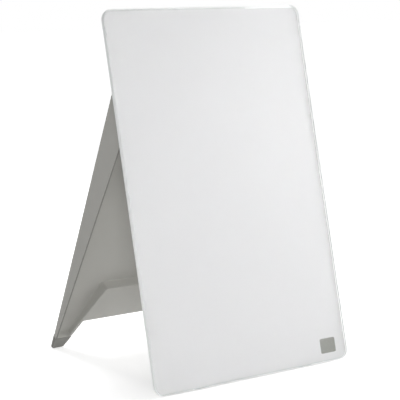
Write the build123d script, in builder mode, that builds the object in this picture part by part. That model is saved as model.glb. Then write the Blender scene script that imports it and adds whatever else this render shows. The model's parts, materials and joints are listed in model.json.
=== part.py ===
from build123d import *
from math import cos, radians, sin
import os

os.makedirs("parts", exist_ok=True)

# A free-standing desk easel: a portrait glass writing board with a steel sheet
# behind it, and a wedge-shaped moulded stand hinged to its back.
# Millimetres and degrees.  X runs along the desk, Y to the rear, Z up.
# The model stands open, with the floor at Z = 0.

# ---------------------------------------------------------------- writing board
board_width = 230.0
board_height = 355.0
board_corner = 10.0          # corner radius of the glass
board_lean = 13.9            # the board leans back this far from upright
edge_height = 1.6            # front lower edge of the glass above the desk
glass_thickness = 4.0
glass_arris = 0.4            # polished chamfer round both faces
border = 2.0                 # clear glass left round the white backing
backing_thickness = 0.25
steel_thickness = 0.5
steel_border = 0.5           # the steel stops this far inside the edge of the glass

badge_width = 18.9           # bare badge let into the white backing, behind the glass
badge_height = 14.4
badge_corner = 1.6
badge_thickness = 0.12
badge_from_side = 13.1       # from the right edge of the board
badge_from_bottom = 8.4

board_foot_width = 14.0      # clear pads under the board
board_foot_height = 10.0
board_foot_depth = 2.8
board_foot_place = 62.0      # from the middle of the board
board_foot_round = 1.0

# ---------------------------------------------------------------- back housing
tape_thickness = 0.8
tape_width = 7.0
tape_gap = 2.0               # between neighbouring strips
housing_width = 196.0
housing_bottom = 60.0        # up the board from its lower edge
housing_top = 335.0
housing_depth = 5.4
housing_skin = 1.8
housing_band = 9.0           # solid band round the housing, which the tape holds
housing_corner = 8.0
housing_round = 1.6
boss_radius = 4.5
rib_thickness = 2.0
rib_count = 4

# ---------------------------------------------------------------- hinge
hinge_height = 255.0         # axis, up the board from its lower edge
hinge_setback = 16.0         # axis behind the rear of the steel sheet
hinge_place = 55.0           # each bracket from the middle of the board
rod_radius = 2.0
fixed_clearance = 0.03       # radial, where two pieces stay together
running_clearance = 0.06     # radial, where one turns on the other
bracket_width = 28.0
bracket_height = 22.0
bracket_thickness = 2.0
bracket_corner = 2.5
lug_width = 8.0
lug_radius = 5.5
screw_radius = 1.25
screw_head_radius = 2.6
screw_head_height = 1.5
screw_length = 5.0
screw_spread_x = 10.0        # screws from the middle of the bracket
screw_spread_up = 7.0
drive_radius = 0.8           # hexagon in the screw head
drive_depth = 0.9
washer_radius = 4.6
washer_thickness = 0.5
washer_gap = 0.08            # each side of a friction washer
bush_radius = 3.2
bush_flange_radius = 4.6
bush_flange = 0.8
web_thickness = 3.0          # bearing webs of the stand
web_radius = 7.0
web_root = 22.0              # width of a web where it meets the plate
clip_radius = 3.8
clip_thickness = 0.6
clip_gap = 0.3               # from the bearing web to the clip
clip_mouth = 2.6
groove_radius = 1.6
rod_tail = 1.6               # rod beyond each clip

# ---------------------------------------------------------------- stand
rim_lean = 30.4              # front rim of the stand, from upright
wedge_angle = 6.35           # the stand is this much of a wedge, thin at the toe
toe_depth = 5.6              # depth of the wedge at the floor
stand_width = 206.0
flange_thickness = 2.6
plate_thickness = 2.2
rim_gap = 0.5                # from the stand's rim to the board when it is folded
rear_round = 4.8             # long rear edges of the stand and its feet
inner_round = 2.4            # the same edges inside the tray
nose_along = 36.0            # top of the stand, up the board from the hinge axis
wall_start = 9.0             # inner top wall, up the board from the hinge axis
wall_setback = 8.7           # inner top wall behind the stand's bevelled edge
wall_thickness = 2.4
pocket_lip = 13.4            # lower end of the tray at the rim
pocket_floor = 17.0          # lower end of the tray at the plate
plateau_top = 72.5           # raised panel above the cut-out, up from the floor
plateau_toe = 9.05           # its side edge from the stand's side, at the floor
splay = 25.0                 # slope of the panel's and the cut-out's sides
plateau_corner = 5.0
plateau_edge_round = 1.2     # front edge of the raised panel
plateau_base_round = 0.8     # hollow where it meets the plate
cutout_height = 32.5
cutout_corner = 2.0
web_wall = 2.6               # wall round the recess behind the raised panel
recess_corner = 3.0
recess_rib = 1.8
recess_rib_count = 3

# ---------------------------------------------------------------- soft trim
foot_height = 13.4           # rubber foot, up the rim from the floor
foot_proud_front = 0.5
foot_proud_rear = 0.3
foot_proud_side = 0.3
foot_sole_round = 2.0
tang_inboard = 5.0           # tongue of the stand inside the rubber foot, from its side
tang_width = 6.0
tang_depth = 2.4
tang_length = 7.0
bead_width = 1.8             # soft bead let into the rim
bead_depth = 1.2
bead_proud = 0.2
bead_round = 0.5
buffer_radius = 5.0          # rubber stops between the stand and the housing
buffer_stem = 3.0
buffer_inboard = 21.0        # from the stand's side
buffer_along = 17.0          # up the board from the hinge axis
buffer_gap = 0.3
buffer_round = 0.9

# ---------------------------------------------------------------- worked out
lean = radians(board_lean)
rim = radians(rim_lean)
rear = radians(rim_lean - wedge_angle)
wedge = radians(wedge_angle)
fold = radians(board_lean + rim_lean)     # from open to folded

board_rear = glass_thickness + backing_thickness + steel_thickness
housing_front = board_rear + tape_thickness
housing_rear = housing_front + housing_depth
axis_behind = board_rear + hinge_setback
rim_reach = hinge_setback - rim_gap       # from the hinge axis to the rim

# The hinge axis, first with Y from the front lower edge of the glass.
axis_from_edge = hinge_height * sin(lean) + axis_behind * cos(lean)
axis_z = edge_height + hinge_height * cos(lean) - axis_behind * sin(lean)
rim_from_edge = axis_from_edge + (axis_z * sin(rim) - rim_reach) / cos(rim)
toe_x = toe_depth / cos(wedge)
rear_offset = (rim_from_edge + toe_x * cos(rim)) * cos(rear) + toe_x * sin(rim) * sin(rear)
sole_centre = (rear_offset + foot_proud_rear - foot_sole_round * (1 + sin(rear))) / cos(rear)
heel_from_edge = sole_centre + foot_sole_round
front_from_edge = glass_arris * sin(lean)

# The origin is under the middle of the whole easel, on the floor.
edge_y = -(front_from_edge + heel_from_edge) / 2
axis_y = edge_y + axis_from_edge
rim_floor_y = edge_y + rim_from_edge
axis_up = (rim_floor_y - axis_y) * sin(rim) + axis_z * cos(rim)
half_stand = stand_width / 2

# Faces to draw on: the board's front, the stand's rim and rear, all with Y up the slope.
board_front = Plane((0, edge_y, edge_height), x_dir=(1, 0, 0), z_dir=(0, -cos(lean), sin(lean)))
rim_face = Plane((0, rim_floor_y, 0), x_dir=(1, 0, 0), z_dir=(0, -cos(rim), -sin(rim)))
# Side views, seen along X: first number to the rear, second up the slope.
board_side = Plane((0, edge_y, edge_height), x_dir=(0, cos(lean), -sin(lean)), z_dir=(1, 0, 0))
rim_side = Plane((0, rim_floor_y, 0), x_dir=(0, cos(rim), sin(rim)), z_dir=(1, 0, 0))
board_normal = Axis((0, 0, 0), (0, -cos(lean), sin(lean)))
rim_normal = Axis((0, 0, 0), (0, -cos(rim), -sin(rim)))
rear_normal = Axis((0, 0, 0), (0, cos(rear), sin(rear)))


def rear_point(up, inside=0.0):
    """A point of the rim's side view, up the stand's rear face and inside it."""
    return (toe_x + up * sin(wedge) - inside * cos(wedge), up * cos(wedge) + inside * sin(wedge))


def bevel_point(along, behind=0.0):
    """A point of the rim's side view, along the board from the axis and behind the bevel."""
    back = behind - rim_reach
    return (
        rim_reach + along * sin(fold) + back * cos(fold),
        axis_up + along * cos(fold) - back * sin(fold),
    )


def crossing(start_a, end_a, start_b, end_b):
    """Where the line through two points crosses the line through two others."""
    ax, ay = end_a[0] - start_a[0], end_a[1] - start_a[1]
    bx, by = end_b[0] - start_b[0], end_b[1] - start_b[1]
    share = ((start_b[0] - start_a[0]) * by - (start_b[1] - start_a[1]) * bx) / (ax * by - ay * bx)
    return (start_a[0] + share * ax, start_a[1] + share * ay)


def splay_x(toe, up):
    """Distance from the stand's middle to a splayed side edge, at a height up the rim."""
    return half_stand - toe - up * sin(radians(splay)) / cos(radians(splay))


def keep(piece, name):
    """Names a finished piece and writes it."""
    piece.part.label = name
    export_step(piece.part, f"parts/{name}.step")


# ================================================================ board body
with BuildPart() as glass_panel:
    with BuildSketch(board_front):
        with Locations((0, board_height / 2)):
            RectangleRounded(board_width, board_height, board_corner)
    extrude(amount=-glass_thickness)
    faces = glass_panel.faces().sort_by(board_normal)
    chamfer(faces[-1].edges() + faces[0].edges(), glass_arris)
keep(glass_panel, "glass_panel")

badge_place = (
    board_width / 2 - badge_from_side - badge_width / 2,
    badge_from_bottom + badge_height / 2,
)
glass_back = board_front.offset(-glass_thickness)
with BuildPart() as white_backing:
    with BuildSketch(glass_back):
        with Locations((0, board_height / 2)):
            RectangleRounded(
                board_width - 2 * border, board_height - 2 * border, board_corner - border
            )
    extrude(amount=-backing_thickness)
    # the shallow pocket that takes the badge
    with BuildSketch(glass_back):
        with Locations(badge_place):
            RectangleRounded(
                badge_width + 2 * fixed_clearance,
                badge_height + 2 * fixed_clearance,
                badge_corner + fixed_clearance,
            )
    extrude(amount=-badge_thickness, mode=Mode.SUBTRACT)
keep(white_backing, "white_backing")

with BuildPart() as steel_sheet:
    with BuildSketch(board_front.offset(-glass_thickness - backing_thickness)):
        with Locations((0, board_height / 2)):
            RectangleRounded(
                board_width - 2 * steel_border,
                board_height - 2 * steel_border,
                board_corner - steel_border,
            )
    extrude(amount=-steel_thickness)
keep(steel_sheet, "steel_sheet")

with BuildPart() as blank_badge:
    with BuildSketch(glass_back):
        with Locations(badge_place):
            RectangleRounded(badge_width, badge_height, badge_corner)
    extrude(amount=-badge_thickness)
keep(blank_badge, "blank_badge")

# Two clear pads behind the lower edge carry the board and keep the glass off the desk.
# Each is cut level with the floor.
for side, sign in (("left", -1), ("right", 1)):
    with BuildPart() as board_foot:
        with BuildSketch(board_side.offset(sign * board_foot_place - board_foot_width / 2)):
            with BuildLine():
                Polyline(
                    (board_rear, board_foot_height),
                    (board_rear + board_foot_depth, board_foot_height - board_foot_round),
                    (board_rear + board_foot_depth, -board_foot_height),
                    (board_rear, -board_foot_height),
                    close=True,
                )
            make_face()
        extrude(amount=board_foot_width)
        split(bisect_by=Plane.XY, keep=Keep.TOP)
    keep(board_foot, f"board_foot_{side}")

# Foam tape on the solid band of the housing: two long strips and two short ones.
housing_height = housing_top - housing_bottom
housing_middle = (housing_top + housing_bottom) / 2
strip_x = housing_width / 2 - housing_band / 2
strip_up = housing_height / 2 - housing_band / 2
with BuildPart() as tape_strips:
    with BuildSketch(board_front.offset(-board_rear)):
        with Locations((-strip_x, housing_middle), (strip_x, housing_middle)):
            Rectangle(tape_width, housing_height - 2 * housing_corner)
        with Locations((0, housing_middle - strip_up), (0, housing_middle + strip_up)):
            Rectangle(2 * strip_x - tape_width - 2 * tape_gap, tape_width)
    extrude(amount=-tape_thickness)
keep(tape_strips, "tape_strips")

screw_places = [
    (sign_x * hinge_place + spread_x, hinge_height + spread_up)
    for sign_x in (-1, 1)
    for spread_x, spread_up in (
        (-screw_spread_x, -screw_spread_up),
        (screw_spread_x, -screw_spread_up),
        (-screw_spread_x, screw_spread_up),
        (screw_spread_x, screw_spread_up),
    )
]
pocket_width = housing_width - 2 * housing_band
pocket_height = housing_height - 2 * housing_band
pocket_depth = housing_depth - housing_skin
screw_grip = screw_length - bracket_thickness
with BuildPart() as back_housing:
    with BuildSketch(board_front.offset(-housing_front)):
        with Locations((0, housing_middle)):
            RectangleRounded(housing_width, housing_height, housing_corner)
    extrude(amount=-housing_depth)
    fillet(back_housing.faces().sort_by(board_normal)[0].edges(), housing_round)
    with BuildSketch(board_front.offset(-housing_front)):
        with Locations((0, housing_middle)):
            RectangleRounded(pocket_width, pocket_height, housing_corner / 2)
    extrude(amount=-pocket_depth, mode=Mode.SUBTRACT)
    with BuildSketch(board_front.offset(-housing_front)):
        with Locations((0, housing_middle)):
            with GridLocations(pocket_width / (rib_count + 1), 0, rib_count, 1):
                Rectangle(rib_thickness, pocket_height + rib_thickness)
        with Locations(*screw_places):
            Circle(boss_radius)
    extrude(amount=-pocket_depth)
    with BuildSketch(board_front.offset(-housing_rear)):
        with Locations(*screw_places):
            Circle(screw_radius + fixed_clearance)
    extrude(amount=screw_grip, mode=Mode.SUBTRACT)
keep(back_housing, "back_housing")

# ================================================================ hinge on the board
for side, sign in (("left", -1), ("right", 1)):
    with BuildPart() as hinge_bracket:
        with BuildSketch(board_front.offset(-housing_rear)):
            with Locations((sign * hinge_place, hinge_height)):
                RectangleRounded(bracket_width, bracket_height, bracket_corner)
        extrude(amount=-bracket_thickness)
        with BuildSketch(board_side.offset(sign * hinge_place - lug_width / 2)):
            with Locations((axis_behind, hinge_height)):
                Circle(lug_radius)
            with Locations(((axis_behind + housing_rear) / 2, hinge_height)):
                Rectangle(axis_behind - housing_rear, 2 * lug_radius)
        extrude(amount=lug_width)
        with BuildSketch(board_side.offset(sign * hinge_place - lug_width / 2)):
            with Locations((axis_behind, hinge_height)):
                Circle(rod_radius + fixed_clearance)
        extrude(amount=lug_width, mode=Mode.SUBTRACT)
        bracket_screws_here = [place for place in screw_places if place[0] * sign > 0]
        with BuildSketch(board_front.offset(-housing_rear)):
            with Locations(*bracket_screws_here):
                Circle(screw_radius + fixed_clearance)
        extrude(amount=-bracket_thickness, mode=Mode.SUBTRACT)
        with BuildSketch(board_front.offset(-housing_rear - bracket_thickness)):
            with Locations(*bracket_screws_here):
                Circle(screw_head_radius + fixed_clearance)
        extrude(amount=screw_head_height, mode=Mode.SUBTRACT)
    keep(hinge_bracket, f"hinge_bracket_{side}")

head_face = housing_rear + bracket_thickness
with BuildPart() as bracket_screws:
    with BuildSketch(board_front.offset(-head_face)):
        with Locations(*screw_places):
            Circle(screw_head_radius)
    extrude(amount=screw_head_height)
    with BuildSketch(board_front.offset(-head_face)):
        with Locations(*screw_places):
            Circle(screw_radius)
    extrude(amount=screw_length)
    with BuildSketch(board_front.offset(-head_face)):
        with Locations(*screw_places):
            RegularPolygon(drive_radius, 6)
    extrude(amount=drive_depth, mode=Mode.SUBTRACT)
keep(bracket_screws, "bracket_screws")

# Across the hinge, outward from the middle of a lug.
washer_from = lug_width / 2 + washer_gap
flange_from = washer_from + washer_thickness + washer_gap
web_from = flange_from + bush_flange
web_to = web_from + web_thickness
clip_from = hinge_place + web_to + clip_gap
rod_end = clip_from + clip_thickness + rod_tail
groove_slack = fixed_clearance

with BuildPart() as hinge_rod:
    with BuildSketch(Plane.YZ):
        with Locations((axis_y, axis_z)):
            Circle(rod_radius)
    extrude(amount=rod_end, both=True)
    for groove_start in (clip_from, -clip_from - clip_thickness):
        with BuildSketch(Plane.YZ.offset(groove_start - groove_slack)):
            with Locations((axis_y, axis_z)):
                Circle(rod_radius + fixed_clearance)
                Circle(groove_radius, mode=Mode.SUBTRACT)
        extrude(amount=clip_thickness + 2 * groove_slack, mode=Mode.SUBTRACT)
keep(hinge_rod, "hinge_rod")

with BuildPart() as rod_clips:
    for clip_start in (clip_from, -clip_from - clip_thickness):
        with BuildSketch(Plane.YZ.offset(clip_start)):
            with Locations((axis_y, axis_z)):
                Circle(clip_radius)
                Circle(groove_radius + fixed_clearance, mode=Mode.SUBTRACT)
            with Locations((axis_y, axis_z - clip_radius)):
                Rectangle(clip_mouth, 2 * clip_radius, mode=Mode.SUBTRACT)
        extrude(amount=clip_thickness)
keep(rod_clips, "rod_clips")

washer_starts = [
    sign * hinge_place + offset
    for sign in (-1, 1)
    for offset in (washer_from, -washer_from - washer_thickness)
]
with BuildPart() as friction_washers:
    for washer_start in washer_starts:
        with BuildSketch(Plane.YZ.offset(washer_start)):
            with Locations((axis_y, axis_z)):
                Circle(washer_radius)
                Circle(rod_radius + running_clearance, mode=Mode.SUBTRACT)
        extrude(amount=washer_thickness)
keep(friction_washers, "friction_washers")

# ================================================================ stand body
# Side view of the wedge, from the rubber foot to the nose above the hinge.
nose_front = bevel_point(nose_along)
nose_rear = crossing(nose_front, bevel_point(nose_along, 1), rear_point(0), rear_point(1))
leg_rear = crossing((0, foot_height), (1, foot_height), rear_point(0), rear_point(1))
plate_line = (rear_point(0, plate_thickness), rear_point(1, plate_thickness))
tray_floor = crossing((0, pocket_floor), (1, pocket_floor), *plate_line)
wall_inner = wall_setback + wall_thickness
wall_top = crossing(bevel_point(0, wall_inner), bevel_point(1, wall_inner), *plate_line)
spill = 6.0                  # cutters reach this far past open faces
inner_half = half_stand - flange_thickness

# Outlines on the rim face: the raised panel, the recess behind it and the cut-out.
cutout_toe = plateau_toe + web_wall / cos(radians(splay))
recess_bottom = cutout_height + web_wall
recess_top = plateau_top - web_wall
wedge_reach = toe_depth + plateau_top + spill
panel_reach = splay_x(plateau_toe, pocket_floor)
rim_level = -rim_floor_y * cos(rim)
plate_level = rear_offset + edge_y * cos(rear) - plate_thickness
touch = 0.01                 # edges this near a plane lie on it

# The space inside the tray: the whole hollow, less the raised panel.
with BuildPart() as tray_space:
    with BuildSketch(rim_side):
        with BuildLine():
            Polyline(
                tray_floor,
                (0, pocket_lip),
                (-spill, pocket_lip),
                (-spill, axis_up),
                bevel_point(wall_start, -spill),
                bevel_point(nose_along + spill, -spill),
                bevel_point(nose_along + spill, wall_setback),
                bevel_point(wall_start, wall_setback),
                bevel_point(wall_start, wall_inner),
                wall_top,
                close=True,
            )
        make_face()
    extrude(amount=inner_half, both=True)
    plate_edges = tray_space.faces().filter_by(rear_normal).sort_by(rear_normal)[-1].edges()
    fillet(plate_edges.filter_by(Axis.X, reverse=True), inner_round)
    with BuildSketch(rim_face.offset(spill)):
        with BuildLine():
            Polyline(
                (-splay_x(plateau_toe, -spill), -spill),
                (splay_x(plateau_toe, -spill), -spill),
                (splay_x(plateau_toe, plateau_top), plateau_top),
                (-splay_x(plateau_toe, plateau_top), plateau_top),
                close=True,
            )
        make_face()
        fillet(vertices().group_by(Axis.Z)[-1], plateau_corner)
    extrude(amount=-wedge_reach, mode=Mode.SUBTRACT)

tang_outer = half_stand - tang_inboard
bead_place = half_stand - flange_thickness / 2
bead_middle = (axis_up + foot_height) / 2
bead_length = axis_up - foot_height
web_middle = crossing(
    (rim_reach, axis_up), (rim_reach + cos(wedge), axis_up - sin(wedge)), *plate_line
)
rod_places = [
    (sign_x * hinge_place, sign_side) for sign_x in (-1, 1) for sign_side in (-1, 1)
]


def slope_point(start, up):
    """A point this far up the slope of the stand's plate from another."""
    return (start[0] + up * sin(wedge), start[1] + up * cos(wedge))


def span_start(centre, near, far, sign):
    """Lower X of a layer that runs from near to far on one side of a centre."""
    return centre + near if sign > 0 else centre - far


with BuildPart() as stand_shell:
    with BuildSketch(rim_side):
        with BuildLine():
            Line((0, foot_height), (0, axis_up))
            RadiusArc((0, axis_up), bevel_point(0), rim_reach)
            Polyline(bevel_point(0), nose_front, nose_rear, leg_rear, (0, foot_height))
        make_face()
    extrude(amount=half_stand, both=True)
    rear_edges = stand_shell.faces().sort_by(rear_normal)[-1].edges()
    fillet(rear_edges.filter_by(Axis.X, reverse=True), rear_round)
    add(tray_space.part, mode=Mode.SUBTRACT)
    near_panel = stand_shell.edges().filter_by_position(Axis.X, -panel_reach, panel_reach)
    near_panel = near_panel.filter_by_position(Axis.Z, pocket_floor, plateau_top)
    panel_front = near_panel.filter_by_position(rim_normal, rim_level - touch, rim_level + touch)
    panel_base = near_panel.filter_by_position(rear_normal, plate_level - touch, plate_level + touch)
    fillet(panel_front, plateau_edge_round)
    fillet(panel_base, plateau_base_round)
    # the recess behind the raised panel, with its ribs left standing
    with BuildSketch(rim_face.offset(-web_wall)):
        with BuildLine():
            Polyline(
                (-splay_x(cutout_toe, recess_bottom), recess_bottom),
                (splay_x(cutout_toe, recess_bottom), recess_bottom),
                (splay_x(cutout_toe, recess_top), recess_top),
                (-splay_x(cutout_toe, recess_top), recess_top),
                close=True,
            )
        make_face()
        fillet(vertices(), recess_corner)
        recess_span = 2 * splay_x(cutout_toe, recess_top)
        with Locations((0, (recess_bottom + recess_top) / 2)):
            with GridLocations(recess_span / (recess_rib_count + 1), 0, recess_rib_count, 1):
                Rectangle(recess_rib, recess_top - cutout_height, mode=Mode.SUBTRACT)
    extrude(amount=-wedge_reach, mode=Mode.SUBTRACT)
    # the cut-out that leaves two legs
    with BuildSketch(rim_face.offset(spill)):
        with BuildLine():
            Polyline(
                (-splay_x(cutout_toe, -spill), -spill),
                (splay_x(cutout_toe, -spill), -spill),
                (splay_x(cutout_toe, cutout_height), cutout_height),
                (-splay_x(cutout_toe, cutout_height), cutout_height),
                close=True,
            )
        make_face()
        fillet(vertices().group_by(Axis.Z)[-1], cutout_corner)
    extrude(amount=-wedge_reach, mode=Mode.SUBTRACT)
    # tongues that hold the rubber feet
    for sign in (-1, 1):
        tang_start = span_start(0, tang_outer - tang_width, tang_outer, sign)
        with BuildSketch(rim_side.offset(tang_start)):
            with Locations((leg_rear[0] / 2, foot_height - tang_length / 2)):
                Rectangle(tang_depth, tang_length)
        extrude(amount=tang_width)
    # grooves for the soft beads along both rims
    with BuildSketch(rim_face):
        for sign in (-1, 1):
            with Locations((sign * bead_place, bead_middle)):
                Rectangle(bead_width, bead_length)
    extrude(amount=-bead_depth, mode=Mode.SUBTRACT)
    # bearing webs at both sides of each bracket
    for centre, sign in rod_places:
        with BuildSketch(rim_side.offset(span_start(centre, web_from, web_to, sign))):
            with BuildLine():
                Polyline(
                    slope_point((rim_reach, axis_up), -web_radius),
                    slope_point(web_middle, -web_root / 2),
                    (web_middle[0] + plate_thickness / 2, web_middle[1]),
                    slope_point(web_middle, web_root / 2),
                    slope_point((rim_reach, axis_up), web_radius),
                    close=True,
                )
            make_face()
            with Locations((rim_reach, axis_up)):
                Circle(web_radius)
        extrude(amount=web_thickness)
        with BuildSketch(rim_side.offset(span_start(centre, web_from, web_to, sign))):
            with Locations((rim_reach, axis_up)):
                Circle(bush_radius + fixed_clearance)
        extrude(amount=web_thickness, mode=Mode.SUBTRACT)
    # holes for the rubber stops in the inner top wall
    stop_face = board_rear + rim_gap + wall_setback
    stop_x = half_stand - buffer_inboard
    stop_places = [(sign * stop_x, hinge_height + buffer_along) for sign in (-1, 1)]
    with BuildSketch(board_front.offset(-stop_face)):
        with Locations(*stop_places):
            Circle(buffer_stem)
    extrude(amount=-wall_thickness, mode=Mode.SUBTRACT)
keep(stand_shell, "stand_shell")

stop_head = stop_face - housing_rear - buffer_gap
for side, place in zip(("left", "right"), stop_places):
    with BuildPart() as stop_buffer:
        with BuildSketch(board_front.offset(-stop_face)):
            with Locations(place):
                Circle(buffer_radius)
        extrude(amount=stop_head)
        fillet(stop_buffer.faces().sort_by(board_normal)[-1].edges(), buffer_round)
        with BuildSketch(board_front.offset(-stop_face)):
            with Locations(place):
                Circle(buffer_stem - fixed_clearance)
        extrude(amount=-wall_thickness)
    keep(stop_buffer, f"stop_buffer_{side}")

for side, sign in (("left", -1), ("right", 1)):
    with BuildPart() as rim_bead:
        with BuildSketch(rim_face.offset(bead_proud)):
            with Locations((sign * bead_place, bead_middle)):
                Rectangle(bead_width, bead_length)
        extrude(amount=-bead_proud - bead_depth)
        bead_edges = rim_bead.faces().sort_by(rim_normal)[-1].edges()
        fillet(bead_edges.filter_by(Axis.X, reverse=True), bead_round)
    keep(rim_bead, f"rim_bead_{side}")

# Rubber feet carry on the outline of the legs down to the floor, a little proud.
outer_side = half_stand + foot_proud_side
cut_from = -2 * spill
cut_to = foot_height + spill
for side, sign in (("left", -1), ("right", 1)):
    with BuildPart() as rubber_foot:
        with BuildSketch(rim_side.offset(-outer_side if sign < 0 else 0)):
            with BuildLine():
                Polyline(
                    (-foot_proud_front, foot_height),
                    (-foot_proud_front, -spill),
                    rear_point(-spill, -foot_proud_rear),
                    crossing(
                        (0, foot_height),
                        (1, foot_height),
                        rear_point(0, -foot_proud_rear),
                        rear_point(1, -foot_proud_rear),
                    ),
                    close=True,
                )
            make_face()
        extrude(amount=outer_side)
        foot_rear_edges = rubber_foot.faces().sort_by(rear_normal)[-1].edges()
        outer_edge = foot_rear_edges.filter_by(Axis.X, reverse=True).sort_by(Axis.X)
        fillet(outer_edge[0 if sign < 0 else -1], rear_round)
        with BuildSketch(rim_face.offset(spill)):
            with BuildLine():
                Polyline(
                    (0, cut_from),
                    (sign * splay_x(cutout_toe, cut_from), cut_from),
                    (sign * splay_x(cutout_toe, cut_to), cut_to),
                    (0, cut_to),
                    close=True,
                )
            make_face()
        extrude(amount=-wedge_reach, mode=Mode.SUBTRACT)
        split(bisect_by=Plane.XY, keep=Keep.TOP)
        fillet(rubber_foot.faces().sort_by(Axis.Z)[0].edges(), foot_sole_round)
        tang_start = span_start(0, tang_outer - tang_width, tang_outer, sign)
        with BuildSketch(rim_side.offset(tang_start)):
            with Locations((leg_rear[0] / 2, foot_height - tang_length / 2)):
                Rectangle(tang_depth, tang_length)
        extrude(amount=tang_width, mode=Mode.SUBTRACT)
    keep(rubber_foot, f"rubber_foot_{side}")

bush_names = ("left_outer", "left_inner", "right_inner", "right_outer")
for name, (centre, sign) in zip(bush_names, rod_places):
    with BuildPart() as hinge_bush:
        with BuildSketch(Plane.YZ.offset(span_start(centre, flange_from, web_from, sign))):
            with Locations((axis_y, axis_z)):
                Circle(bush_flange_radius)
                Circle(rod_radius + running_clearance, mode=Mode.SUBTRACT)
        extrude(amount=bush_flange)
        with BuildSketch(Plane.YZ.offset(span_start(centre, web_from, web_to, sign))):
            with Locations((axis_y, axis_z)):
                Circle(bush_radius)
                Circle(rod_radius + running_clearance, mode=Mode.SUBTRACT)
        extrude(amount=web_thickness)
    keep(hinge_bush, f"hinge_bush_{name}")
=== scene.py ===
# %% [markdown]
# # A desk whiteboard easel
#
# This lesson dresses a small desk easel: a glass writing board on a folding plastic stand. The solid
# model is already there, packed as a set of named pieces, and it fixes every size. Here each piece is
# made again with the small soft edges that the eye expects, and gets the finish of its material.

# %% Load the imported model
import json
import math

import bmesh
import bpy
from mathutils import Matrix, Vector


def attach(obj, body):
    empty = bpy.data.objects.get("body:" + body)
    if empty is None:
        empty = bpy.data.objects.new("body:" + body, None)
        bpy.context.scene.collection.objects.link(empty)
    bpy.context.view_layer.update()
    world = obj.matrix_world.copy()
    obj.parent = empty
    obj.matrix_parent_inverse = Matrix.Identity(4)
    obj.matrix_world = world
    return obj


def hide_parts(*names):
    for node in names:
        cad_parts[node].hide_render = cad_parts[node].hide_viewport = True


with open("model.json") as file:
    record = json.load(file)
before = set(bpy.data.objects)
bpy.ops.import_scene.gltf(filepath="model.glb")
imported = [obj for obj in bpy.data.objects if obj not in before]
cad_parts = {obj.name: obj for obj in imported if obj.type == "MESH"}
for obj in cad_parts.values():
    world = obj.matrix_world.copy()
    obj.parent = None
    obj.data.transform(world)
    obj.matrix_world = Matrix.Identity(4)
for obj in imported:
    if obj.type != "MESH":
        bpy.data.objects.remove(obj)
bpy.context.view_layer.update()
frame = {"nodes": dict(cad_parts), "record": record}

solids = frame["nodes"]

# %% [markdown]
# ## The camera comes first
#
# The easel is looked at from a good distance through a long lens, so the board keeps its straight
# edges and hardly narrows upwards. The camera could be made to track a point on the easel, but with a
# long lens small errors of place show. So it is set by numbers: where it stands, how far it is turned
# from straight back, and how far it looks down. It has no roll and no shift.

# %% Place the camera
camera_place = Vector((-0.8125, -1.1306, 0.3877))
camera_turn = math.radians(36.03)     # to the right of straight back
camera_dip = math.radians(9.42)       # down from level
sensor_width = 36.0                   # millimetres, as is the length of the lens
lens_length = 128.74
nearest_seen = 0.05
furthest_seen = 30.0

camera_data = bpy.data.cameras.new("long_lens")
camera_data.sensor_width = sensor_width
camera_data.lens = lens_length
camera_data.clip_start = nearest_seen
camera_data.clip_end = furthest_seen
camera = bpy.data.objects.new("camera", camera_data)
camera.location = camera_place
camera.rotation_euler = (math.pi / 2 - camera_dip, 0.0, -camera_turn)
bpy.context.scene.collection.objects.link(camera)
bpy.context.scene.camera = camera
print("the camera stands", round(camera_place.length, 3), "m from the middle under the easel")

# %% [markdown]
# ## A white room
#
# The easel stands in a white room. Two things are kept apart here: what lights the easel, and what
# the eye sees behind it. One bright white world could do both, but it would wash out every pale
# piece. So the world that lights is an even, dim grey, and the world that is seen is plain white. The
# Light Path node tells the two kinds of ray apart. A ray from the camera sees white, and so does one
# that is mirrored by a shiny surface or passes through glass, so that the glass and the metal show
# the same room.

# %% Make the world
room_light = (0.80, 0.80, 0.80, 1.0)
room_strength = 0.41
seen_white = (1.0, 1.0, 1.0, 1.0)
seen_strength = 1.0


def seen_rays(tree):
    """A value that is 1 for rays of the camera, of gloss and of glass, and 0 for the rest."""
    path = tree.nodes.new("ShaderNodeLightPath")
    camera_or_gloss = tree.nodes.new("ShaderNodeMath")
    camera_or_gloss.operation = "MAXIMUM"
    tree.links.new(path.outputs["Is Camera Ray"], camera_or_gloss.inputs[0])
    tree.links.new(path.outputs["Is Glossy Ray"], camera_or_gloss.inputs[1])
    or_glass = tree.nodes.new("ShaderNodeMath")
    or_glass.operation = "MAXIMUM"
    tree.links.new(camera_or_gloss.outputs[0], or_glass.inputs[0])
    tree.links.new(path.outputs["Is Transmission Ray"], or_glass.inputs[1])
    return or_glass.outputs[0]


room = bpy.data.worlds.new("white_room")
bpy.context.scene.world = room
room.use_nodes = True
tree = room.node_tree
tree.nodes.clear()
lighting = tree.nodes.new("ShaderNodeBackground")
lighting.inputs["Color"].default_value = room_light
lighting.inputs["Strength"].default_value = room_strength
backdrop = tree.nodes.new("ShaderNodeBackground")
backdrop.inputs["Color"].default_value = seen_white
backdrop.inputs["Strength"].default_value = seen_strength
chosen = tree.nodes.new("ShaderNodeMixShader")
tree.links.new(seen_rays(tree), chosen.inputs["Fac"])
tree.links.new(lighting.outputs[0], chosen.inputs[1])
tree.links.new(backdrop.outputs[0], chosen.inputs[2])
room_output = tree.nodes.new("ShaderNodeOutputWorld")
tree.links.new(chosen.outputs[0], room_output.inputs["Surface"])
bpy.context.scene.view_settings.view_transform = "Standard"
print("the room lights with", room_strength, "and is seen with", seen_strength)

# %% [markdown]
# ## A white table
#
# The easel stands on a white table that runs on without an edge. A curved paper backdrop would do
# that too, but a table that is much wider than the view needs no curve. It has to keep the easel's
# shadow and still melt into the white behind it. A lit white alone can't: it is always a little
# darker than the room. So the table adds a lift that only the eye sees, weaker near the easel, where
# the shadow falls, and stronger further out.

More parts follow.
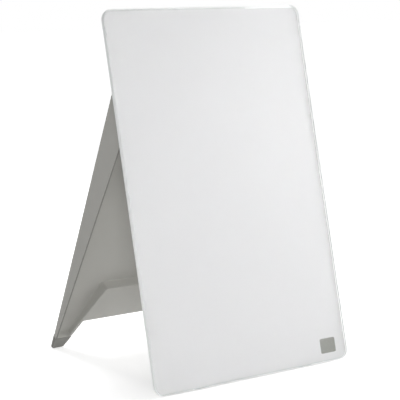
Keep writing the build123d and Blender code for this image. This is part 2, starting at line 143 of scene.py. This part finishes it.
# %% Make the table top
table_half = 6.0
table_level = -0.0002                 # a hair under the feet

table_mesh = bpy.data.meshes.new("table_top")
builder = bmesh.new()
bmesh.ops.create_grid(builder, x_segments=1, y_segments=1, size=table_half)
builder.to_mesh(table_mesh)
builder.free()
table = bpy.data.objects.new("table_top", table_mesh)
table.location = (0.0, 0.0, table_level)
bpy.context.scene.collection.objects.link(table)
print("the table top is", 2 * table_half, "m wide")

# %% Give the table its finish
table_tone = (0.90, 0.90, 0.90, 1.0)
lift_near = 0.48                      # strength of what the eye sees on top of the lit tone
lift_far = 0.80
lift_from = 0.5                       # metres from the middle under the easel
lift_to = 1.1

table_finish = bpy.data.materials.new("white_table")
table_finish.use_nodes = True
tree = table_finish.node_tree
tree.nodes.clear()
lit = tree.nodes.new("ShaderNodeBsdfDiffuse")
lit.inputs["Color"].default_value = table_tone
lift = tree.nodes.new("ShaderNodeEmission")
lift.inputs["Color"].default_value = seen_white
table_place = tree.nodes.new("ShaderNodeTexCoord")
distance = tree.nodes.new("ShaderNodeVectorMath")
distance.operation = "LENGTH"
tree.links.new(table_place.outputs["Object"], distance.inputs[0])
growing = tree.nodes.new("ShaderNodeMapRange")
growing.inputs["From Min"].default_value = lift_from
growing.inputs["From Max"].default_value = lift_to
growing.inputs["To Min"].default_value = lift_near
growing.inputs["To Max"].default_value = lift_far
tree.links.new(distance.outputs["Value"], growing.inputs["Value"])
only_seen = tree.nodes.new("ShaderNodeMath")
only_seen.operation = "MULTIPLY"
tree.links.new(seen_rays(tree), only_seen.inputs[0])
tree.links.new(growing.outputs["Result"], only_seen.inputs[1])
tree.links.new(only_seen.outputs[0], lift.inputs["Strength"])
lit_and_lifted = tree.nodes.new("ShaderNodeAddShader")
tree.links.new(lit.outputs[0], lit_and_lifted.inputs[0])
tree.links.new(lift.outputs[0], lit_and_lifted.inputs[1])
table_output = tree.nodes.new("ShaderNodeOutputMaterial")
tree.links.new(lit_and_lifted.outputs[0], table_output.inputs["Surface"])
table_mesh.materials.append(table_finish)
print("the table is lifted by", lift_near, "near the easel and by", lift_far, "far from it")

# %% [markdown]
# ## Four softboxes
#
# A large lamp near a white table leaves a bright pool under itself, which a glass board then mirrors
# as a strange line. Studios hang a honeycomb grid before the lamp, so that it only lights what it
# faces. The spread of an area lamp is such a grid. The lamp at the left stands low and looks in under
# the stand, the two at the right make the board grow lighter that way, and the one at the rear keeps
# the back from going dark. None of them is seen by the camera or mirrored in the glass.

# %% Hang the lamps
easel_middle = Vector((0.0, 0.0, 0.17))


def soft_lamp(name, place, size, fan, power):
    """A square lamp that looks at the easel: size in metres, fan in degrees, power in watts."""
    data = bpy.data.lights.new(name, "AREA")
    data.shape = "SQUARE"
    data.size = size
    data.spread = math.radians(fan)
    data.energy = power
    lamp = bpy.data.objects.new(name, data)
    lamp.visible_camera = False
    lamp.visible_glossy = False
    lamp.location = place
    lamp.rotation_euler = (easel_middle - lamp.location).to_track_quat("-Z", "Y").to_euler()
    bpy.context.scene.collection.objects.link(lamp)


soft_lamp("key_lamp", place=(0.42, -0.38, 0.40), size=0.25, fan=120, power=0.80)
soft_lamp("right_lamp", place=(1.0, -0.30, 0.45), size=0.4, fan=120, power=3.5)
soft_lamp("left_low_lamp", place=(-0.75, -1.15, 0.16), size=0.3, fan=60, power=0.80)
soft_lamp("rear_lamp", place=(0.0, 1.3, 0.9), size=0.5, fan=120, power=4.8)

# %% [markdown]
# ## The board's own directions
#
# The board leans back, so nothing on it lies along the world's axes. One could draw each piece
# upright and turn it by the angle of the lean, but that angle would be written twice. The record of
# the model keeps the writing face as a mount: a point on the glass and the direction that the glass
# looks in. From these a matrix is made whose X runs along the desk, Y up the board and Z out of the
# glass towards the writer. Pieces of the board are drawn flat in it and turned into place at once.

# %% Find the writing plane
writing_face = next(m for m in frame["record"]["mounts"] if m["name"] == "writing_face")
along_desk = Vector((1.0, 0.0, 0.0))
towards_writer = Vector(writing_face["axis"]).normalized()
up_board = towards_writer.cross(along_desk)
writing_plane = Matrix((along_desk, up_board, towards_writer)).transposed().to_4x4()
writing_plane.translation = Vector(writing_face["pos_m"])


def reach(node, plane):
    """The lowest and highest corner of a solid, measured along a plane's own directions."""
    inverse = plane.inverted()
    points = [inverse @ vertex.co for vertex in solids[node].data.vertices]
    return [Vector(extreme(p[i] for p in points) for i in range(3)) for extreme in (min, max)]


glass_low, glass_high = reach("glass_panel", writing_plane)
board_size = glass_high - glass_low
print("board", [round(1000 * v, 2) for v in board_size], "mm, leaning",
      round(math.degrees(math.asin(towards_writer.z)), 2), "degrees")

# %% [markdown]
# ## A slab with soft corners
#
# Glass, film and badge are all slabs: a flat outline with round corners, given a thickness. The edge
# of the glass isn't knife sharp either. A scaled cube with a bevel would round its corners and its
# edges by the same amount. Here the outline and the edge are two separate lists of points: the
# outline says how round the corners are, and the edge profile says how far in and how deep each ring
# of points lies. The rings are joined by quads, and the two flat sides get one face each.

# %% Draw the outline and the edge
def round_outline(width, height, corner, steps):
    """Points round a rectangle with round corners, centred on the origin."""
    points = []
    for turn, (side_x, side_y) in enumerate(((1, 1), (-1, 1), (-1, -1), (1, -1))):
        centre_x = side_x * (width / 2 - corner)
        centre_y = side_y * (height / 2 - corner)
        for step in range(steps + 1):
            angle = math.pi / 2 * (turn + step / steps)
            points.append((centre_x + corner * math.cos(angle), centre_y + corner * math.sin(angle)))
    return points


def round_edge(radius, depth, steps):
    """(inset, depth) of each ring of an edge that is rounded at the front and at the back."""
    bend = [math.pi / 2 * step / steps for step in range(steps + 1)]
    front = [(radius * (1 - math.sin(a)), radius * (1 - math.cos(a))) for a in bend]
    return front + [(inset, depth - down) for inset, down in reversed(front)]


def straight_edge(depth):
    """The two rings of an edge that is cut straight."""
    return [(0.0, 0.0), (0.0, depth)]


board_corner = 0.010
print("points round the board:", len(round_outline(board_size.x, board_size.y, board_corner, steps=16)))


# %% Build the slab
def slab(name, size, corner, edge, centre, front, plane, steps):
    """A slab piece: its width and height, its place on the plane and the height of its front."""
    tightest = corner / 4
    builder = bmesh.new()
    rings = []
    for inset, depth in edge:
        outline = round_outline(size[0] - 2 * inset, size[1] - 2 * inset,
                                max(corner - inset, tightest), steps)
        rings.append([builder.verts.new((centre[0] + x, centre[1] + y, front - depth))
                      for x, y in outline])
    count = len(rings[0])
    for upper, lower in zip(rings, rings[1:]):
        for i in range(count):
            after = (i + 1) % count
            face = builder.faces.new((upper[i], lower[i], lower[after], upper[after]))
            face.smooth = True
    builder.faces.new(rings[0])
    builder.faces.new(reversed(rings[-1]))
    bmesh.ops.recalc_face_normals(builder, faces=builder.faces)
    builder.transform(plane)
    mesh = bpy.data.meshes.new(name)
    builder.to_mesh(mesh)
    builder.free()
    piece = bpy.data.objects.new(name, mesh)
    bpy.context.scene.collection.objects.link(piece)
    return piece


def hand_over(piece, finish, body, node):
    """Gives a piece its finish, and says what it rides on, stands for and is made of."""
    piece.data.materials.append(finish)
    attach(piece, body)
    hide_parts(node)
    return piece


print("rings of a straight edge:", len(straight_edge(board_size.z)))

# %% [markdown]
# ## Finishes are made of nodes
#
# Every finish starts from the Principled shader. What is the same everywhere, such as the colour of
# glass or how far it bends light, is typed into the shader's own sockets. What varies, such as the
# cloudiness of a moulded colour or the fine grain of a ground surface, comes from noise. A painted
# image could hold the same detail, but noise needs no file and no unwrapping. It is read in the
# piece's own coordinates, so it stays put when the stand folds.

# %% Start a finish
noise_low = 0.3                       # nearly all of a noise lies between these two
noise_high = 0.7


def start_finish(name, roughness, specular=0.5):
    """A new material with its tree and its shader."""
    material = bpy.data.materials.new(name)
    material.use_nodes = True
    shader = material.node_tree.nodes["Principled BSDF"]
    shader.inputs["Roughness"].default_value = roughness
    shader.inputs["Specular IOR Level"].default_value = specular
    return material, material.node_tree, shader


def piece_noise(tree, waves, detail=2.0, stretch=(1.0, 1.0, 1.0)):
    """Noise in the piece's own coordinates, with so many waves to the metre."""
    coordinates = tree.nodes.new("ShaderNodeTexCoord")
    mapping = tree.nodes.new("ShaderNodeMapping")
    mapping.inputs["Scale"].default_value = stretch
    noise = tree.nodes.new("ShaderNodeTexNoise")
    noise.inputs["Scale"].default_value = waves
    noise.inputs["Detail"].default_value = detail
    tree.links.new(coordinates.outputs["Object"], mapping.inputs["Vector"])
    tree.links.new(mapping.outputs["Vector"], noise.inputs["Vector"])
    return noise.outputs["Fac"]


print("noise is read between", noise_low, "and", noise_high)


# %% Let noise drive colour, gloss and height
def two_tones(tree, shader, noise, first, second):
    """Colours the shader between two near tones."""
    ramp = tree.nodes.new("ShaderNodeValToRGB")
    ramp.color_ramp.elements[0].position = noise_low
    ramp.color_ramp.elements[0].color = (*first, 1.0)
    ramp.color_ramp.elements[1].position = noise_high
    ramp.color_ramp.elements[1].color = (*second, 1.0)
    tree.links.new(noise, ramp.inputs["Fac"])
    tree.links.new(ramp.outputs["Color"], shader.inputs["Base Color"])


def uneven_gloss(tree, shader, noise, glossiest, dullest):
    """Lets the roughness run between two values."""
    remap = tree.nodes.new("ShaderNodeMapRange")
    remap.inputs["From Min"].default_value = noise_low
    remap.inputs["From Max"].default_value = noise_high
    remap.inputs["To Min"].default_value = glossiest
    remap.inputs["To Max"].default_value = dullest
    tree.links.new(noise, remap.inputs["Value"])
    tree.links.new(remap.outputs["Result"], shader.inputs["Roughness"])


def grain(tree, shader, noise, height):
    """Fine bumps, with their real height in metres."""
    bump = tree.nodes.new("ShaderNodeBump")
    bump.inputs["Strength"].default_value = 1.0
    bump.inputs["Distance"].default_value = height
    tree.links.new(noise, bump.inputs["Height"])
    tree.links.new(bump.outputs["Normal"], shader.inputs["Normal"])


print("noise can drive", [f.__name__ for f in (two_tones, uneven_gloss, grain)])

# %% [markdown]
# ## Clear glass
#
# The board is not white glass: it is clear, with a white film behind it that stops a little before
# the edge. That is why a greyer band runs all round: there one looks past the film onto the steel,
# and into the ground edge of the glass. A white slab with a painted rim would give the band but not
# its depth, so the glass here is a real clear slab that bends the light.

# %% Make the glass finish
glass_tint = (0.985, 0.996, 0.992, 1.0)
glass_bend = 1.52

clear_glass, tree, shader = start_finish("clear_glass", roughness=0.0)
shader.inputs["Base Color"].default_value = glass_tint
shader.inputs["IOR"].default_value = glass_bend
shader.inputs["Transmission Weight"].default_value = 1.0
print("glass bends light by", glass_bend)

# %% Make the glass
glass_round = 0.0004
glass_edge = round_edge(glass_round, board_size.z, steps=4)
glass_middle = (glass_low + glass_high) / 2

writing_glass = slab("writing_glass", board_size, board_corner, glass_edge,
                     glass_middle, glass_high.z, writing_plane, steps=16)
hand_over(writing_glass, clear_glass, "board", "glass_panel")
print("glass faces:", len(writing_glass.data.polygons), "in", len(glass_edge), "rings")

# %% [markdown]
# ## The ground edge
#
# A sheet of glass is cut, and its sharp sides are ground round. Grinding leaves them matt and pale,
# so the edge scatters light where the flat faces let it through. A separate frame round the glass
# would leave a gap or an overlap, and clear glass needs one closed mesh. So the edge isn't a piece of
# its own: its faces take a second material. The direction in which a face looks tells edge faces and
# flat faces apart.

# %% Grind the edge
edge_pale = (0.870, 0.885, 0.882)
edge_pale_far = (0.905, 0.918, 0.915)
flat_share = 0.9                      # a face that looks at the writer by more than this is flat

ground_glass, tree, shader = start_finish("ground_glass", roughness=0.55, specular=0.35)
two_tones(tree, shader, piece_noise(tree, waves=2500.0), edge_pale, edge_pale_far)

writing_glass.data.materials.append(ground_glass)
ground_faces = [face for face in writing_glass.data.polygons
                if abs(face.normal.dot(towards_writer)) < flat_share]
for face in ground_faces:
    face.material_index = 1
print("ground faces:", len(ground_faces))

# %% [markdown]
# ## White film behind the glass
#
# The white that one writes on is a film glued to the back of the glass. Painting the back of the
# glass itself would lose the clear border round it, so the film is a slab of its own. It reaches a
# hair into the glass, as glue would, so that no gap of air mirrors the light between the two.

# %% Make the white film
film_white = (0.752, 0.746, 0.752)
film_white_far = (0.762, 0.756, 0.762)
film_in_glass = 0.00004

white_film_finish, tree, shader = start_finish("white_film", roughness=0.55, specular=0.3)
two_tones(tree, shader, piece_noise(tree, waves=9.0, detail=1.0), film_white, film_white_far)

film_low, film_high = reach("white_backing", writing_plane)
film_size = film_high - film_low
clear_border = (board_size.x - film_size.x) / 2
film_corner = board_corner - clear_border
white_film = slab("white_film", film_size, film_corner, straight_edge(film_size.z + film_in_glass),
                  (film_low + film_high) / 2, film_high.z + film_in_glass, writing_plane, steps=14)
hand_over(white_film, white_film_finish, "board", "white_backing")
print("the clear border is", round(1000 * clear_border, 2), "mm wide")

# %% [markdown]
# ## A bare badge
#
# A small grey badge with soft corners sits near the lower right. It lies behind the glass, let into
# the film, so the writing face stays flat. A plate on top of the glass would be as easy to make, but
# it would throw a shadow through the glass onto the film. This one is held a hair in front of the
# film, which is enough to cover it.

# %% Make the badge
badge_grey = (0.275, 0.275, 0.248)
badge_grey_far = (0.288, 0.288, 0.262)
badge_grain = 0.000004
badge_in_glass = 0.00008
badge_corner = 0.0016

badge_finish, tree, shader = start_finish("satin_badge", roughness=0.45)
two_tones(tree, shader, piece_noise(tree, waves=900.0), badge_grey, badge_grey_far)
grain(tree, shader, piece_noise(tree, waves=6000.0), badge_grain)

badge_low, badge_high = reach("blank_badge", writing_plane)
badge_size = badge_high - badge_low
bare_badge = slab("bare_badge", badge_size, badge_corner, straight_edge(badge_size.z + badge_in_glass),
                  (badge_low + badge_high) / 2, badge_high.z + badge_in_glass, writing_plane, steps=8)
hand_over(bare_badge, badge_finish, "board", "blank_badge")
print("badge", [round(1000 * v, 1) for v in badge_size], "mm")

# %% [markdown]
# ## Softening a moulded piece
#
# A moulding never has a knife edge: the tool leaves a small round everywhere. The solids have their
# large rounds but sharp small edges. A Bevel modifier can round those, but only on clean faces, so
# the copy is welded first and its flat triangles are dissolved into whole faces. The modifier then
# looks at the angle between faces: true edges are rounded and the many small steps of a curve are
# left alone. Weighted normals keep the large faces flat and let only the rounds catch the light.

# %% Soften a copy of a solid
weld_gap = 0.000002
flat_angle = math.radians(0.4)        # faces that meet at less than this are one face
edge_angle = math.radians(28.0)       # faces that meet at more than this have an edge between them
flat_weight = 100                     # how far large faces rule the normals


def softened(node, name, soft_edge, segments):
    """A copy of a solid with small rounds along its sharp edges."""
    builder = bmesh.new()
    builder.from_mesh(solids[node].data)
    bmesh.ops.remove_doubles(builder, verts=builder.verts, dist=weld_gap)
    bmesh.ops.dissolve_limit(builder, angle_limit=flat_angle, verts=builder.verts, edges=builder.edges)
    rough_mesh = bpy.data.meshes.new(name + "_rough")
    builder.to_mesh(rough_mesh)
    builder.free()
    for face in rough_mesh.polygons:
        face.use_smooth = True
    rough = bpy.data.objects.new(name + "_rough", rough_mesh)
    bpy.context.scene.collection.objects.link(rough)
    bevel = rough.modifiers.new("small_rounds", "BEVEL")
    bevel.width = soft_edge
    bevel.segments = segments
    bevel.limit_method = "ANGLE"
    bevel.angle_limit = edge_angle
    weighted = rough.modifiers.new("flat_faces_flat", "WEIGHTED_NORMAL")
    weighted.weight = flat_weight
    graph = bpy.context.evaluated_depsgraph_get()
    mesh = bpy.data.meshes.new_from_object(rough.evaluated_get(graph))
    mesh.name = name
    mesh.materials.clear()
    bpy.data.objects.remove(rough)
    bpy.data.meshes.remove(rough_mesh)
    piece = bpy.data.objects.new(name, mesh)
    bpy.context.scene.collection.objects.link(piece)
    return piece


def dress(node, name, soft_edge, finish, body, segments=2):
    """Stands a softened copy in the place of a solid."""
    return hand_over(softened(node, name, soft_edge, segments), finish, body, node)


print("edges over", round(math.degrees(edge_angle), 1), "degrees will be softened")

# %% [markdown]
# ## Warm grey moulded plastic
#
# The stand is moulded in a warm grey and the housing in an off-white. Such plastic is spark eroded:
# the tool's surface is a field of tiny pits, which breaks up its gloss. One flat colour with a high
# roughness would look like paper. So slow noises move the colour and the gloss by a few percent,
# because melt never mixes fully, and a fine one raises bumps of about two hundredths of a millimetre.

# %% Make the plastic finish
plastic_grain = 0.000022
plastic_glossier = 0.04               # how far the roughness swings either way
plastic_duller = 0.05


def moulded_plastic(name, tone, far_tone, roughness):
    """Plastic with a fine eroded grain."""
    material, tree, shader = start_finish(name, roughness, specular=0.42)
    two_tones(tree, shader, piece_noise(tree, waves=14.0, detail=3.0), tone, far_tone)
    uneven_gloss(tree, shader, piece_noise(tree, waves=60.0, detail=3.0),
                 roughness - plastic_glossier, roughness + plastic_duller)
    grain(tree, shader, piece_noise(tree, waves=2600.0, detail=3.0), plastic_grain)
    return material


print("plastic grain:", round(1e6 * plastic_grain), "micrometres high")

# %% [markdown]
# ## The stand
#
# The stand is one moulding: a wedge-shaped tray with a raised panel, ribs behind the panel and two
# legs. Its large rounds are in the solid, and a stand modelled again by hand would only lose them. So
# the solid is softened: rims, ribs and cut-out get the small rounds that catch the light.

# %% Make the stand
stand_grey = (0.384, 0.379, 0.355)
stand_grey_far = (0.394, 0.389, 0.365)
stand_round = 0.00035

stand_finish = moulded_plastic("stand_plastic", stand_grey, stand_grey_far, roughness=0.52)
stand = dress("stand_shell", "stand_moulding", stand_round, stand_finish, "stand")
print("stand faces:", len(stand.data.polygons))

# %% [markdown]
# ## The housing
#
# A shallow off-white cover behind the steel carries the hinge. It could be a smooth box, since little
# of it shows, but from behind it stands right beside the stand. So it is made as the stand is, with
# the same grain, because both come from the same kind of tool.

# %% Make the housing
housing_white = (0.800, 0.795, 0.780)
housing_white_far = (0.815, 0.810, 0.795)
housing_round = 0.0003

housing_finish = moulded_plastic("housing_plastic", housing_white, housing_white_far, roughness=0.55)
housing = dress("back_housing", "housing_moulding", housing_round, housing_finish, "board")
print("housing faces:", len(housing.data.polygons))

# %% [markdown]
# ## Soft rubber, and painted shade on the rim
#
# The feet, the bead along the rim and the stops are a softer material in a darker tone. On the bead
# the dark tone is painted shade: it stands for the shade that falls along the rim of each flange.
# Rubber scatters light more than plastic and hardly shines, and its grain is coarser. It could be the
# stand's plastic in another tone, but then the feet would glint as the stand does. Its pieces get
# three segments to a round where the plastic has two, because a soft edge is seen as a curve.

# %% Make the rubber finish
# This dark tone is rubber on the feet and the stops, and painted shade on the rim bead, where it stands
# for the shade along each flange's rim.
rubber_and_rim_shade_grey = (0.232, 0.230, 0.215)
rubber_and_rim_shade_grey_far = (0.250, 0.248, 0.233)
rubber_grain = 0.00004

soft_rubber_and_rim_shade, tree, shader = start_finish("soft_rubber_and_rim_shade", roughness=0.78, specular=0.35)
two_tones(tree, shader, piece_noise(tree, waves=120.0, detail=3.0), rubber_and_rim_shade_grey, rubber_and_rim_shade_grey_far)
grain(tree, shader, piece_noise(tree, waves=1800.0, detail=3.0), rubber_grain)
print("rubber grain:", round(1e6 * rubber_grain), "micrometres high")

# %% Make the rubber pieces
rubber_rounds = {"rubber_foot_": 0.0005, "rim_bead_": 0.0002, "stop_buffer_": 0.0002}

# The rim bead takes the dark rubber tone as painted shade along the flange's rim.
for kind, soft_edge in rubber_rounds.items():
    for side in ("left", "right"):
        node = kind + side
        dress(node, node + "_soft", soft_edge, soft_rubber_and_rim_shade, "stand", segments=3)
print("rubber pieces:", 2 * len(rubber_rounds))

# %% [markdown]
# ## Powder coated steel
#
# A thin steel sheet behind the film makes the board hold magnets. Its light grey coat is a powder
# that is baked on, and it flows into low, wide bumps like the skin of an orange. A smooth grey would
# do from the front, where only a thin band shows through the glass, but from behind the sheet shows
# all round the housing. A noise with few waves and little detail makes those bumps.

# %% Make the steel sheet
coat_grey = (0.715, 0.717, 0.715)
coat_grey_far = (0.730, 0.732, 0.730)
coat_bumps = 0.00004
steel_round = 0.00008

powder_coat, tree, shader = start_finish("powder_coat", roughness=0.48)
two_tones(tree, shader, piece_noise(tree, waves=400.0), coat_grey, coat_grey_far)
grain(tree, shader, piece_noise(tree, waves=1400.0, detail=1.0), coat_bumps)
steel = dress("steel_sheet", "steel_back", steel_round, powder_coat, "board")
print("steel sheet faces:", len(steel.data.polygons))

# %% [markdown]
# ## Three bare metals
#
# The hinge has cast brackets, zinc plated screws and a ground rod. The three differ in tone, in gloss
# and in the size of their marks, but not in kind. So one helper makes them all: one noise drives the
# colour, the gloss and the height together, because on real metal a mark changes all three at once.
# For the ground steel the noise is stretched, so that it runs round the rod as the marks of a
# grinding wheel do.

# %% Make the metal finishes
metal_glossier = 0.07                 # how far the roughness swings either way
metal_duller = 0.08
round_the_rod = (6.0, 1.0, 1.0)       # the rod lies along the desk


def bare_metal(name, tone, far_tone, roughness, waves, marks, stretch=(1.0, 1.0, 1.0)):
    """Metal whose colour, gloss and height follow one noise: waves to the metre, marks in metres."""
    material, tree, shader = start_finish(name, roughness)
    shader.inputs["Metallic"].default_value = 1.0
    wear = piece_noise(tree, waves, detail=3.0, stretch=stretch)
    two_tones(tree, shader, wear, tone, far_tone)
    uneven_gloss(tree, shader, wear, roughness - metal_glossier, roughness + metal_duller)
    grain(tree, shader, wear, marks)
    return material


cast_metal = bare_metal("cast_bracket", tone=(0.46, 0.46, 0.46), far_tone=(0.52, 0.52, 0.52),
                        roughness=0.46, waves=900.0, marks=0.00002)
zinc_plate = bare_metal("zinc_plate", tone=(0.50, 0.51, 0.50), far_tone=(0.60, 0.60, 0.58),
                        roughness=0.32, waves=1500.0, marks=0.000006)
ground_steel = bare_metal("ground_steel", tone=(0.50, 0.50, 0.51), far_tone=(0.58, 0.58, 0.58),
                          roughness=0.24, waves=3000.0, marks=0.000004, stretch=round_the_rod)
print("metals:", cast_metal.name, zinc_plate.name, ground_steel.name)

# %% [markdown]
# ## Brackets, screws and rod
#
# Two brackets are screwed to the housing, and a rod passes through their lugs. These pieces are small
# and hidden from the front, but they show from above when the stand is folded. Their solids have
# every hole and lug, so they only need softening: wide for a casting, narrow for a spring clip.

# %% Make the metal pieces of the hinge
bracket_round = 0.00035
screw_round = 0.00015
rod_round = 0.00025
clip_round = 0.00008

for side in ("left", "right"):
    node = "hinge_bracket_" + side
    dress(node, node + "_cast", bracket_round, cast_metal, "board")
dress("bracket_screws", "bracket_screw_heads", screw_round, zinc_plate, "board")
dress("hinge_rod", "hinge_rod_ground", rod_round, ground_steel, "board")
dress("rod_clips", "rod_clips_spring", clip_round, ground_steel, "board")
print("the rod is", round(1000 * solids["hinge_rod"].dimensions.x, 1), "mm long")

# %% [markdown]
# ## Nylon washers
#
# A hinge that holds its angle squeezes soft washers between its lugs and its bushes. They are natural
# nylon, a milky cream plastic. An opaque cream would look like paint: light goes a little way into
# nylon before it comes back, so the finish lets it scatter up to a millimetre under the skin.

# %% Make the washers
nylon_cream = (0.68, 0.66, 0.58)
nylon_cream_far = (0.72, 0.70, 0.62)
nylon_milkiness = 0.15
nylon_depth = 0.001
turned_grain = 0.000006
washer_round = 0.00006

nylon, tree, shader = start_finish("natural_nylon", roughness=0.42)
shader.inputs["Subsurface Weight"].default_value = nylon_milkiness
shader.inputs["Subsurface Scale"].default_value = nylon_depth
two_tones(tree, shader, piece_noise(tree, waves=700.0), nylon_cream, nylon_cream_far)
grain(tree, shader, piece_noise(tree, waves=4000.0), turned_grain)
washers = dress("friction_washers", "friction_rings", washer_round, nylon, "board")
print("washer faces:", len(washers.data.polygons))

# %% [markdown]
# ## Black bushes
#
# The stand turns on the rod in four flanged bushes, which sit in its webs and move with it. They are
# turned from black acetal, a slippery plastic with a dull shine. Pure black would swallow the
# flange's edge, so its tone is a very dark grey that still shows the light on its rounds.

# %% Make the bushes
acetal_black = (0.020, 0.020, 0.020)
acetal_black_far = (0.028, 0.028, 0.028)
bush_round = 0.0001
bush_seats = ("left_outer", "left_inner", "right_inner", "right_outer")

acetal, tree, shader = start_finish("black_acetal", roughness=0.36)
two_tones(tree, shader, piece_noise(tree, waves=500.0), acetal_black, acetal_black_far)
grain(tree, shader, piece_noise(tree, waves=4000.0), turned_grain)
for seat in bush_seats:
    node = "hinge_bush_" + seat
    dress(node, node + "_turned", bush_round, acetal, "stand")
print("bushes:", len(bush_seats))

# %% [markdown]
# ## Foam tape
#
# Strips of foam tape hold the housing to the steel, and only their dark cut edges show. Foam could be
# a plain black, but its open cells make the edge ragged. A coarse grain nearly a tenth of a
# millimetre high gives that without any cells being modelled.

# %% Make the tape
foam_black = (0.030, 0.030, 0.030)
foam_black_far = (0.050, 0.050, 0.050)
foam_cells = 0.00008
tape_round = 0.0001

foam, tree, shader = start_finish("foam_tape", roughness=0.9, specular=0.2)
two_tones(tree, shader, piece_noise(tree, waves=900.0), foam_black, foam_black_far)
grain(tree, shader, piece_noise(tree, waves=2500.0, detail=3.0), foam_cells)
tape = dress("tape_strips", "foam_tape_strips", tape_round, foam, "board")
print("tape faces:", len(tape.data.polygons))

# %% [markdown]
# ## Clear pads
#
# Two clear silicone pads behind the lower edge hold the glass off the desk. Silicone bends light less
# than glass and is never quite clear, so most of the light passes and the rest is scattered by a
# pale body. Their rounds are wide and have four segments, because a cast pad is all curve.

# %% Make the pads
silicone_tint = (0.90, 0.92, 0.91, 1.0)
silicone_bend = 1.41
silicone_clearness = 0.85
silicone_ripple = 0.00002
pad_round = 0.0006

silicone, tree, shader = start_finish("clear_silicone", roughness=0.18)
shader.inputs["Base Color"].default_value = silicone_tint
shader.inputs["IOR"].default_value = silicone_bend
shader.inputs["Transmission Weight"].default_value = silicone_clearness
grain(tree, shader, piece_noise(tree, waves=900.0), silicone_ripple)
for side in ("left", "right"):
    node = "board_foot_" + side
    dress(node, node + "_pad", pad_round, silicone, "board", segments=4)
print("the pads bend light by", silicone_bend)
